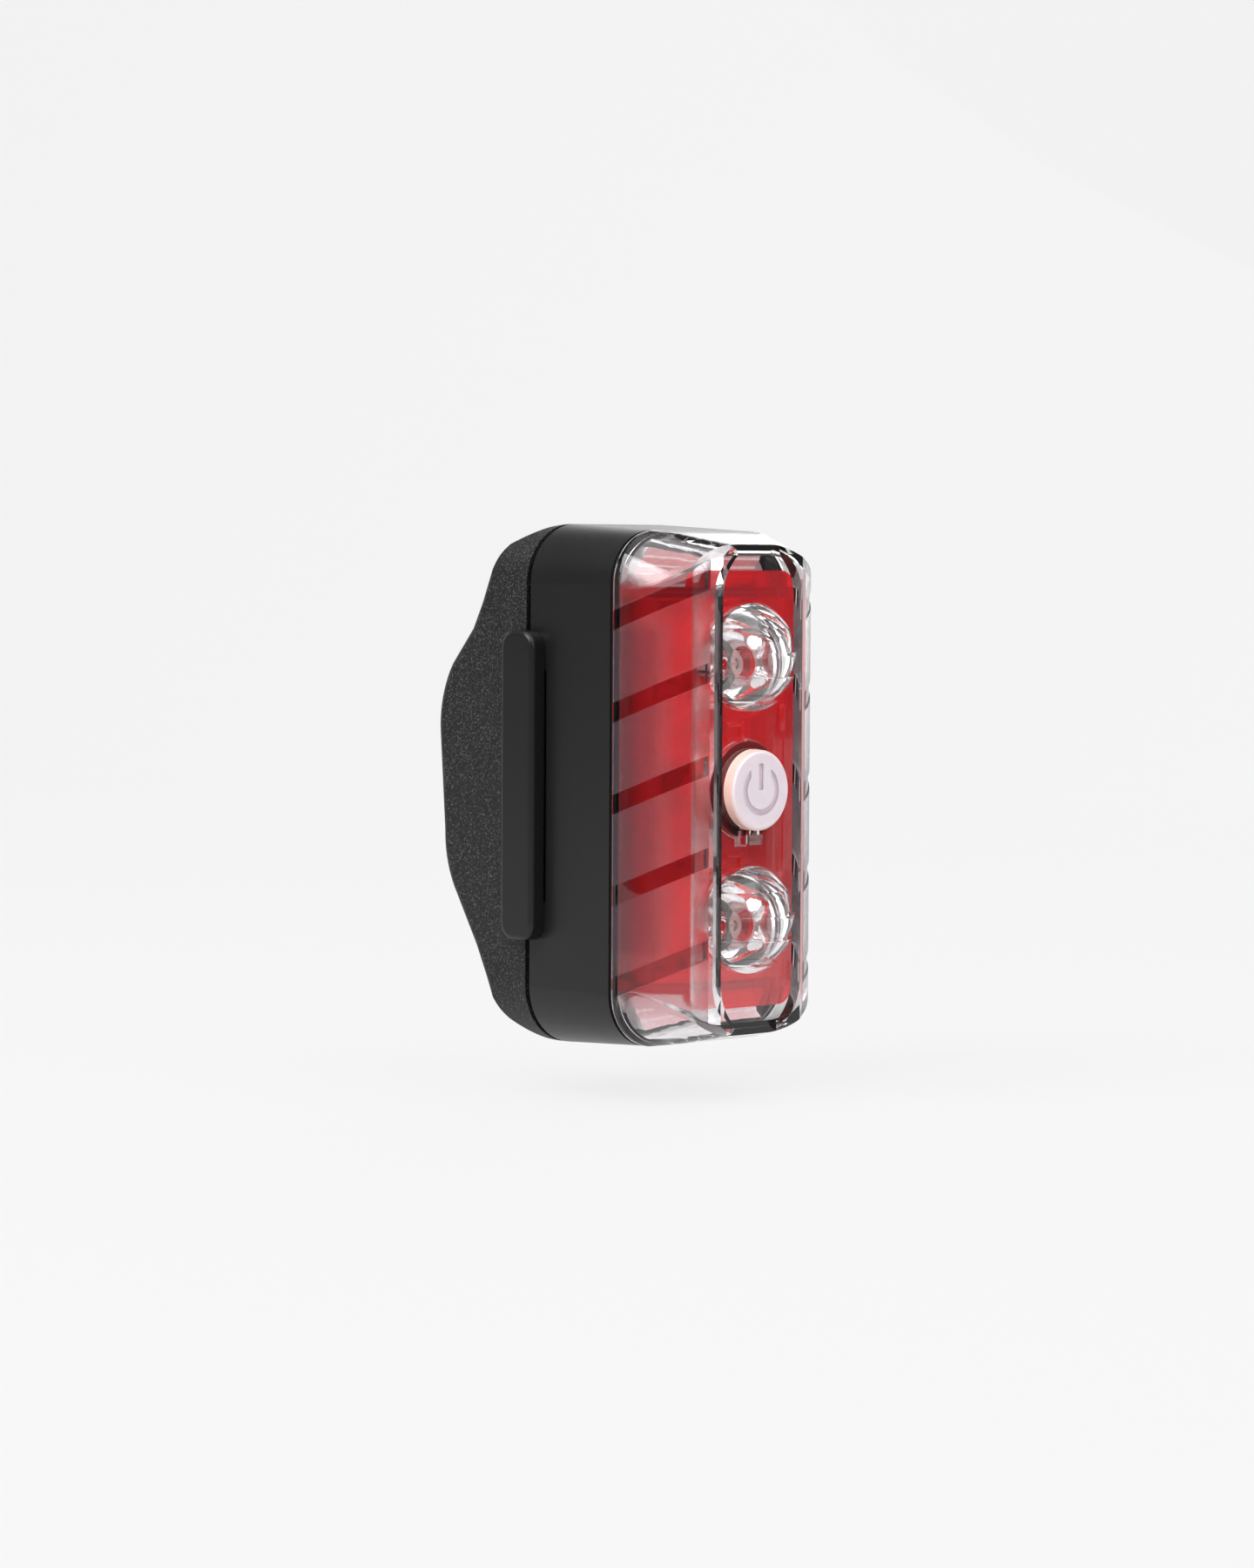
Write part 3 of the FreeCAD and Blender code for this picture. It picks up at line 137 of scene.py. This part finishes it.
coverLook = {"dark": (0.008, 0.008, 0.009), "light": (0.105, 0.107, 0.111), "roughness": 0.50,
             "glossSpread": 0.12, "specks": (0.53, 0.74), "grainPerMm": 4.8, "grainDepth": 0.04,
             "specular": 0.32}
housingLook = {"dark": (0.007, 0.007, 0.008), "light": (0.011, 0.011, 0.012), "roughness": 0.34,
               "glossSpread": 0.03, "specks": (0.35, 0.7), "grainPerMm": 9.0, "grainDepth": 0.004,
               "specular": 0.36}
padLook = {"dark": (0.010, 0.010, 0.011), "light": (0.020, 0.020, 0.022), "roughness": 0.75,
           "glossSpread": 0.05, "specks": (0.35, 0.7), "grainPerMm": 4.0, "grainDepth": 0.05,
           "specular": 0.35, "ribPitch": 1.6, "ribShare": 2.5}
sealLook = {"dark": (0.008, 0.008, 0.008), "light": (0.014, 0.014, 0.015), "roughness": 0.62,
            "glossSpread": 0.04, "specks": (0.35, 0.7), "grainPerMm": 6.0, "grainDepth": 0.008,
            "specular": 0.4}
dress(mouldedFinish("coverGrain", coverLook), "rear_cover")
dress(mouldedFinish("housingSatin", housingLook), "main_housing", "hook_plate")
dress(mouldedFinish("padRubber", padLook), "saddle_pad", "cell_foam")
dress(mouldedFinish("sealRubber", sealLook), "lens_gasket", "port_door", "door_anchor", "switch_case",
      "switch_stem", "socket_tongue")
print("shell dressed")


# Metal with fine turning marks.
turning = {"gloss": 0.08, "depth": 0.005}


def metalFinish(name, look):
    finish, tree, shader = newFinish(name)
    where, _ = places(tree)
    marks = noise(tree, where, look["marksPerMm"], 4.0, 0.7)
    shader.inputs["Metallic"].default_value = 1.0
    tree.links.new(blendColour(tree, marks, look["dark"], look["light"]), shader.inputs["Base Color"])
    tree.links.new(spread(tree, marks, *noiseRange, look["roughness"] - turning["gloss"],
                          look["roughness"] + turning["gloss"]), shader.inputs["Roughness"])
    relief(tree, shader, marks, turning["depth"])
    return finish


screwLook = {"dark": (0.16, 0.16, 0.17), "light": (0.34, 0.34, 0.36), "roughness": 0.34, "marksPerMm": 6.0}
plateLook = {"dark": (0.52, 0.52, 0.53), "light": (0.70, 0.70, 0.71), "roughness": 0.28, "marksPerMm": 4.0}
foilLook = {"dark": (0.42, 0.42, 0.44), "light": (0.62, 0.62, 0.64), "roughness": 0.38, "marksPerMm": 0.8}
dress(metalFinish("screwZinc", screwLook), "cover_screws", "board_screws")
dress(metalFinish("portPlating", plateLook), "charge_socket")
dress(metalFinish("cellFoil", foilLook), "lithium_cell")


# Clear lens: frosted wings with polished slanting stripes and a painted reflection on the rear of the wings,
# everything else glossy.
lensLook = {"clear": (0.96, 0.95, 0.96), "stripe": (0.27, 0.22, 0.24), "frost": (0.88, 0.84, 0.87),
            "clearRoughness": 0.02, "frostRoughness": 0.22, "frostBody": 0.012, "grainPerMm": 5.0,
            "grainDepth": 0.035, "lensRear": 32.3, "shoulder": 7.35, "wingCentre": 3.38, "wingSkin": 9.55,
            "topLine": 28.1, "topFall": 0.13, "slope": 0.42, "pitch": 10.2, "halfBand": 1.1, "leftTop": 21.1,
            "rightTop": 22.2, "wingMiddle": (10.375, 36.9), "wingRun": (0.5495, 0.8355),
            # painted reflection: grey colour, diffuse share and extent painted on the rear of the wings in
            # place of the lamp's sheen
            "paintedSheen": (0.31, 0.24, 0.28), "paintedSheenBody": 0.10, "paintedSheenRun": (-2.0, 0.8), "paintedSheenEnds": (21.0, 17.5),
            "edgeGap": 0.05, "stripesBelowTop": 4, "speckShade": 0.9}


def lensFinish(name, look):
    finish, tree, shader = newFinish(name)
    where, (x, y, z) = places(tree)
    side = sums(tree, "ABSOLUTE", x)
    forward = sums(tree, "SUBTRACT", sums(tree, "MULTIPLY", y, -1), look["lensRear"])
    across = sums(tree, "SUBTRACT", side, look["wingCentre"])
    reach = sums(tree, "SQRT", sums(tree, "ADD", sums(tree, "MULTIPLY", across, across),
                                    sums(tree, "MULTIPLY", forward, forward)))
    onWing = sums(tree, "GREATER_THAN", reach, look["wingSkin"])
    rise = sums(tree, "ADD", sums(tree, "ABSOLUTE", z), sums(tree, "MULTIPLY", forward, look["topFall"]))
    onTop = sums(tree, "GREATER_THAN", rise, look["topLine"])
    beyond = sums(tree, "GREATER_THAN", side, look["shoulder"] + look["edgeGap"])
    skin = sums(tree, "MULTIPLY", sums(tree, "MAXIMUM", onWing, onTop), beyond)
    start = sums(tree, "ADD", look["leftTop"],
                 sums(tree, "MULTIPLY", sums(tree, "GREATER_THAN", x, 0), look["rightTop"] - look["leftTop"]))
    outward = sums(tree, "SUBTRACT", side, look["wingMiddle"][0])
    ahead = sums(tree, "SUBTRACT", forward, look["wingMiddle"][1] - look["lensRear"])
    run = sums(tree, "SUBTRACT", sums(tree, "MULTIPLY", outward, look["wingRun"][0]),
               sums(tree, "MULTIPLY", ahead, look["wingRun"][1]))
    climb = sums(tree, "MULTIPLY", sums(tree, "MULTIPLY", run, sums(tree, "SIGN", x)), look["slope"])
    slant = sums(tree, "SUBTRACT", z, climb)
    count = sums(tree, "DIVIDE", sums(tree, "SUBTRACT", slant, start), look["pitch"])
    nearest = sums(tree, "MINIMUM", sums(tree, "MAXIMUM", sums(tree, "ROUND", count),
                                         -look["stripesBelowTop"]), 0)
    off = sums(tree, "ABSOLUTE", sums(tree, "SUBTRACT", count, nearest))
    band = sums(tree, "LESS_THAN", off, look["halfBand"] / look["pitch"])
    frost = sums(tree, "MULTIPLY", skin, sums(tree, "SUBTRACT", 1, band))
    grain = noise(tree, where, look["grainPerMm"], 3.0, 0.6)
    speck = blendColour(tree, spread(tree, grain, *noiseRange),
                        tuple(c * look["speckShade"] for c in look["frost"]), look["frost"])
    polished = sums(tree, "MULTIPLY", skin, band)
    bare = blendColour(tree, polished, look["clear"], look["stripe"])
    # painted reflection: the rear half of the wing is painted greyer and less clear than the front half, in
    # place of the lamp's sheen on it
    paintedSheen = sums(tree, "MULTIPLY", spread(tree, run, *look["paintedSheenRun"]),
                spread(tree, sums(tree, "ABSOLUTE", z), *look["paintedSheenEnds"]))
    frostAndPaintedSheen = blendColour(tree, paintedSheen, speck, look["paintedSheen"])
    body = sums(tree, "MULTIPLY", frost, spread(tree, paintedSheen, 0, 1, look["frostBody"], look["paintedSheenBody"]))
    tree.links.new(blendColour(tree, frost, bare, frostAndPaintedSheen), shader.inputs["Base Color"])
    tree.links.new(spread(tree, frost, 0, 1, look["clearRoughness"], look["frostRoughness"]),
                   shader.inputs["Roughness"])
    tree.links.new(sums(tree, "SUBTRACT", 1, body), shader.inputs["Transmission Weight"])
    shader.inputs["IOR"].default_value = plasticIndex
    relief(tree, shader, sums(tree, "MULTIPLY", grain, frost), look["grainDepth"])
    return finish


def glassFinish(name, look):
    finish, tree, shader = newFinish(name)
    where, _ = places(tree)
    flow = noise(tree, where, look["flowPerMm"], 2.0)
    tree.links.new(blendColour(tree, flow, look["tint"], look["pale"]), shader.inputs["Base Color"])
    tree.links.new(spread(tree, flow, *noiseRange, look["roughness"],
                          look["roughness"] + look["glossSpread"]), shader.inputs["Roughness"])
    shader.inputs["Transmission Weight"].default_value = look["transmission"]
    shader.inputs["IOR"].default_value = plasticIndex
    relief(tree, shader, flow, look["flowDepth"])
    return finish


opticLook = {"tint": (0.93, 0.93, 0.94), "pale": (0.99, 0.99, 0.99), "roughness": 0.02, "transmission": 1.0,
             "glossSpread": 0.03, "flowPerMm": 0.5, "flowDepth": 0.01}
redLook = {"tint": (0.68, 0.003, 0.010), "pale": (0.85, 0.006, 0.020), "roughness": 0.08,
           "transmission": 0.70, "glossSpread": 0.03, "flowPerMm": 0.35, "flowDepth": 0.02}
dress(lensFinish("wingFrost", lensLook), "outer_lens")
dress(glassFinish("opticClear", opticLook), "condenser_upper", "condenser_lower", "indicator_pipe")
dress(glassFinish("filterRed", redLook), "red_filter")
for name in ("outer_lens", "condenser_upper", "condenser_lower", "indicator_pipe", "red_filter"):
    nodes[name].visible_shadow = False  # light reaches what lies behind clear plastic
print("lens dressed")


# Milky button, white tray and board, lamps.
# painted shade: the icon colour darkens the sunk icon, in place of the shade in its groove
milkLook = {"dark": (0.68, 0.59, 0.64), "light": (0.77, 0.69, 0.74), "paintedIconShade": (0.63, 0.54, 0.60),
            # painted light: the wall colour is red light bounced onto the button's side wall
            "wall": (0.72, 0.50, 0.44), "flange": (0.34, 0.03, 0.035), "iconFloor": 42.1, "iconReach": 3.3,
            "wallReach": 4.35, "flangeReach": 4.6, "roughness": 0.32, "glossSpread": 0.06, "cloudPerMm": 0.5,
            "cloudDepth": 0.004, "glow": 0.3, "glowDepth": (1.6, 0.9, 0.9)}


def milkFinish(name, look):
    finish, tree, shader = newFinish(name)
    where, (x, y, z) = places(tree)
    cloud = noise(tree, where, look["cloudPerMm"])
    reach = sums(tree, "SQRT", sums(tree, "ADD", sums(tree, "MULTIPLY", x, x), sums(tree, "MULTIPLY", z, z)))
    # painted shade: the sunk icon is coloured darker
    paintedShadeArea = sums(tree, "MULTIPLY", sums(tree, "GREATER_THAN", y, -look["iconFloor"]),
                sums(tree, "LESS_THAN", reach, look["iconReach"]))
    # painted light: the side wall is coloured peach, as red light bounced onto it
    wall = sums(tree, "GREATER_THAN", reach, look["wallReach"])
    face = blendColour(tree, paintedShadeArea, blendColour(tree, cloud, look["dark"], look["light"]), look["paintedIconShade"])
    flange = sums(tree, "GREATER_THAN", reach, look["flangeReach"])
    tree.links.new(blendColour(tree, flange, blendColour(tree, wall, face, look["wall"]), look["flange"]),
                   shader.inputs["Base Color"])
    tree.links.new(spread(tree, cloud, *noiseRange, look["roughness"],
                          look["roughness"] + look["glossSpread"]), shader.inputs["Roughness"])
    shader.inputs["Subsurface Weight"].default_value = look["glow"]
    shader.inputs["Subsurface Radius"].default_value = look["glowDepth"]
    shader.inputs["Subsurface Scale"].default_value = mm
    relief(tree, shader, cloud, look["cloudDepth"])
    return finish


trayLook = {"dark": (0.74, 0.74, 0.76), "light": (0.88, 0.88, 0.89), "roughness": 0.22, "glossSpread": 0.04,
            "specks": (0.35, 0.7), "grainPerMm": 1.5, "grainDepth": 0.006, "specular": 0.6}
boardLook = {"dark": (0.60, 0.60, 0.58), "light": (0.74, 0.74, 0.72), "roughness": 0.35, "glossSpread": 0.05,
             "specks": (0.35, 0.7), "grainPerMm": 2.5, "grainDepth": 0.008, "specular": 0.5}
leadLook = {"dark": (0.36, 0.01, 0.01), "light": (0.50, 0.02, 0.02), "roughness": 0.45, "glossSpread": 0.04,
            "specks": (0.35, 0.7), "grainPerMm": 3.0, "grainDepth": 0.004, "specular": 0.5}
lampLook = {"case": (0.78, 0.76, 0.70), "phosphor": (0.80, 0.66, 0.18), "halfDie": 0.85, "place": 14.65,
            "grainPerMm": 4.0, "speckShade": 0.8, "gloss": (0.25, 0.4)}


def lampFinish(name, look):
    finish, tree, shader = newFinish(name)
    where, (x, y, z) = places(tree)
    near = sums(tree, "SUBTRACT", sums(tree, "ABSOLUTE", z), look["place"])
    spot = sums(tree, "MAXIMUM", sums(tree, "ABSOLUTE", x), sums(tree, "ABSOLUTE", near))
    grain = noise(tree, where, look["grainPerMm"])
    glow = blendColour(tree, grain, tuple(c * look["speckShade"] for c in look["phosphor"]), look["phosphor"])
    tree.links.new(blendColour(tree, sums(tree, "LESS_THAN", spot, look["halfDie"]), look["case"], glow),
                   shader.inputs["Base Color"])
    tree.links.new(spread(tree, grain, *noiseRange, *look["gloss"]), shader.inputs["Roughness"])
    return finish


dress(milkFinish("buttonMilk", milkLook), "power_button")
dress(mouldedFinish("trayWhite", trayLook), "reflector_tray")
dress(mouldedFinish("boardWhite", boardLook), "circuit_board", "cell_guard_board")
dress(mouldedFinish("leadRed", leadLook), "cell_leads")
dress(lampFinish("lampPackage", lampLook), "main_led_upper", "main_led_lower", "side_leds_left",
      "side_leds_right", "indicator_led")
print("insides dressed")


# Small pieces that show through the red filter and on the board. They stand on the given face.
# Each row: across, up, wide, high and, on the board, how far it stands proud.
clipLook = {"face": 38.8, "proud": 0.4, "edge": 0.12,
            "rows": [(-1.9, 7.3, 2.2, 0.5), (-1.9, 5.6, 2.2, 0.5), (-0.6, 6.45, 0.5, 2.2),
                     (-1.9, -7.3, 2.2, 0.5), (-1.9, -8.9, 2.2, 0.5), (-0.6, -8.1, 0.5, 2.1),
                     (5.6, 7.9, 0.8, 3.0), (5.6, -8.2, 0.8, 3.4),
                     (-5.4, 6.6, 0.7, 2.4), (-5.4, -7.9, 0.7, 2.8)]}
chipLook = {"face": 29.0, "edge": 0.08, "dark": (0.012, 0.012, 0.013), "light": (0.03, 0.03, 0.032),
            "roughness": 0.4, "glossSpread": 0.05, "specks": (0.35, 0.7), "grainPerMm": 5.0,
            "grainDepth": 0.006, "specular": 0.5,
            "rows": [(3.8, 6.4, 2.4, 1.6, 1.0), (-3.6, 8.0, 1.0, 0.5, 0.45), (-1.4, 8.3, 0.5, 1.0, 0.45),
                     (4.2, -7.4, 1.6, 3.0, 0.9), (0.6, -9.0, 1.0, 0.5, 0.45), (-3.9, -6.6, 1.6, 0.8, 0.8),
                     (-1.6, 20.2, 3.0, 1.6, 1.0), (2.6, 20.5, 1.0, 0.5, 0.45), (5.0, 20.0, 0.5, 1.0, 0.45),
                     (2.2, -20.2, 2.6, 1.6, 1.0), (-2.6, -20.4, 1.0, 0.5, 0.45),
                     (-5.0, -19.8, 0.5, 1.0, 0.45)]}


def softBlocks(name, rows, face, edge, finish):
    mesh = bmesh.new()
    for across, up, wide, high, proud in rows:
        middle = Vector((across, -(face + proud / 2), up)) * mm
        shape = Matrix.Translation(middle) @ Matrix.Diagonal((wide * mm, proud * mm, high * mm, 1))
        bmesh.ops.create_cube(mesh, size=1, matrix=shape)
    bmesh.ops.bevel(mesh, geom=list(mesh.edges), offset=edge * mm, segments=2, affect="EDGES", profile=0.5)
    data = bpy.data.meshes.new(name)
    mesh.to_mesh(data)
    mesh.free()
    for side in data.polygons:
        side.use_smooth = True
    piece = bpy.data.objects.new(name, data)
    bpy.context.scene.collection.objects.link(piece)
    data.materials.append(finish)
    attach(piece, "light")
    return piece


filterClips = softBlocks("filterClips", [(*row, clipLook["proud"]) for row in clipLook["rows"]],
                         clipLook["face"], clipLook["edge"], bpy.data.materials["filterRed"])
filterClips.visible_shadow = False
softBlocks("boardParts", chipLook["rows"], chipLook["face"], chipLook["edge"],
           mouldedFinish("chipBlack", chipLook))
print("clips and board parts made")


# Pale sweep: floor and backdrop in one sheet at the photograph's tone. In front of the light it ends outside
# the picture, so that the glossy strip mirrors a dim room and not a bright floor.
stageLook = {"tone": 0.888, "floor": -35.4, "behind": 900, "height": 700, "front": 340, "bend": 300,
             "eye": 500, "flare": 0.2, "spare": 70, "spreadBehind": 1.2, "own": 0.92, "turn": -43,
             "bendSteps": 12, "roughness": 0.9}


def paleStage(look):
    line = [(-look["front"], look["floor"]), (look["behind"] - look["bend"], look["floor"])]
    for step in range(1, look["bendSteps"] + 1):
        angle = math.pi / 2 * step / look["bendSteps"]
        line.append((look["behind"] - look["bend"] + look["bend"] * math.sin(angle),
                     look["floor"] + look["bend"] * (1 - math.cos(angle))))
    line.append((look["behind"], look["height"]))
    mesh = bmesh.new()
    rows = []
    for depth, height in line:
        half = (look["eye"] + depth) * look["flare"] + look["spare"] + max(depth, 0) * look["spreadBehind"]
        rows.append([mesh.verts.new(Vector((x, depth, height)) * mm) for x in (-half, half)])
    for first, second in zip(rows, rows[1:]):
        mesh.faces.new((first[0], first[1], second[1], second[0])).smooth = True
    data = bpy.data.meshes.new("paleStage")
    mesh.to_mesh(data)
    mesh.free()
    stage = bpy.data.objects.new("paleStage", data)
    bpy.context.scene.collection.objects.link(stage)
    stage.rotation_euler.z = math.radians(look["turn"])
    finish, tree, shader = newFinish("stagePaper")
    rays = tree.nodes.new("ShaderNodeLightPath").outputs
    shader.inputs["Base Color"].default_value = (look["tone"], look["tone"], look["tone"], 1)
    shader.inputs["Roughness"].default_value = look["roughness"]
    seen = sums(tree, "MAXIMUM", rays["Is Camera Ray"],
                sums(tree, "MAXIMUM", rays["Is Glossy Ray"], rays["Is Transmission Ray"]))
    glow = tree.nodes.new("ShaderNodeEmission")
    glow.inputs["Color"].default_value = (look["tone"], look["tone"], look["tone"], 1)
    mix = tree.nodes.new("ShaderNodeMixShader")
    tree.links.new(sums(tree, "MULTIPLY", seen, look["own"]), mix.inputs[0])
    tree.links.new(shader.outputs[0], mix.inputs[1])
    tree.links.new(glow.outputs[0], mix.inputs[2])
    tree.links.new(mix.outputs[0], tree.nodes["Material Output"].inputs["Surface"])
    stage.data.materials.append(finish)


paleStage(stageLook)

# Soft studio light: azimuth and elevation as seen from the object, in degrees.
lightLook = {"world": 0.15, "aim": (0, -0.0203, 0), "lamps": {
    "keyLeft": {"azimuth": -98, "elevation": 44, "distance": 0.9, "size": 0.5, "watts": 6.5},
    "fillRight": {"azimuth": 0, "elevation": 42, "distance": 1.0, "size": 1.1, "watts": 5.0},
    "edgeRight": {"azimuth": 118, "elevation": 8, "distance": 0.9, "size": 0.9, "watts": 5.0},
    "topSoft": {"azimuth": -30, "elevation": 80, "distance": 0.8, "size": 1.1, "watts": 6.0},
}}


def towards(azimuth, elevation):
    a, e = math.radians(azimuth), math.radians(elevation)
    return Vector((math.sin(a) * math.cos(e), -math.cos(a) * math.cos(e), math.sin(e)))


def studioLight(look):
    world = bpy.data.worlds.new("studioAir")
    bpy.context.scene.world = world
    world.use_nodes = True
    world.node_tree.nodes["Background"].inputs["Color"].default_value = (1, 1, 1, 1)
    world.node_tree.nodes["Background"].inputs["Strength"].default_value = look["world"]
    for name, lamp in look["lamps"].items():
        data = bpy.data.lights.new(name, "AREA")
        data.size = lamp["size"]
        data.energy = lamp["watts"]
        place = bpy.data.objects.new(name, data)
        back = towards(lamp["azimuth"], lamp["elevation"])
        place.location = Vector(look["aim"]) + back * lamp["distance"]
        place.rotation_euler = back.to_track_quat("Z", "Y").to_euler()
        bpy.context.scene.collection.objects.link(place)


studioLight(lightLook)
print("stage and light ready")

cameraLook = {"azimuth": -43.0, "elevation": 3.0, "distance": 0.5, "aim": (0.0, -0.0203, -0.0002),
              "lens": 100.0, "roll": 0.3, "sensor": 36.0, "nearest": 0.01, "farthest": 20.0}


def photoCamera(look):
    data = bpy.data.cameras.new("photoCamera")
    data.lens = look["lens"]
    data.sensor_width = look["sensor"]
    data.clip_start, data.clip_end = look["nearest"], look["farthest"]
    camera = bpy.data.objects.new("photoCamera", data)
    back = towards(look["azimuth"], look["elevation"])
    aimed = (-back).to_track_quat("-Z", "Y").to_matrix().to_4x4()
    turn = aimed @ Matrix.Rotation(math.radians(look["roll"]), 4, "Z")
    camera.matrix_world = Matrix.Translation(Vector(look["aim"]) + back * look["distance"]) @ turn
    bpy.context.scene.collection.objects.link(camera)
    bpy.context.scene.camera = camera


photoCamera(cameraLook)
bpy.context.scene.view_settings.view_transform = "Standard"

# Light turns many times inside the clear lens; with fewer turns its edges go black.
lightTurns = {"all": 28, "mirrored": 20, "passed": 28}
bpy.context.scene.cycles.max_bounces = lightTurns["all"]
bpy.context.scene.cycles.glossy_bounces = lightTurns["mirrored"]
bpy.context.scene.cycles.transmission_bounces = lightTurns["passed"]

print("scene ready")
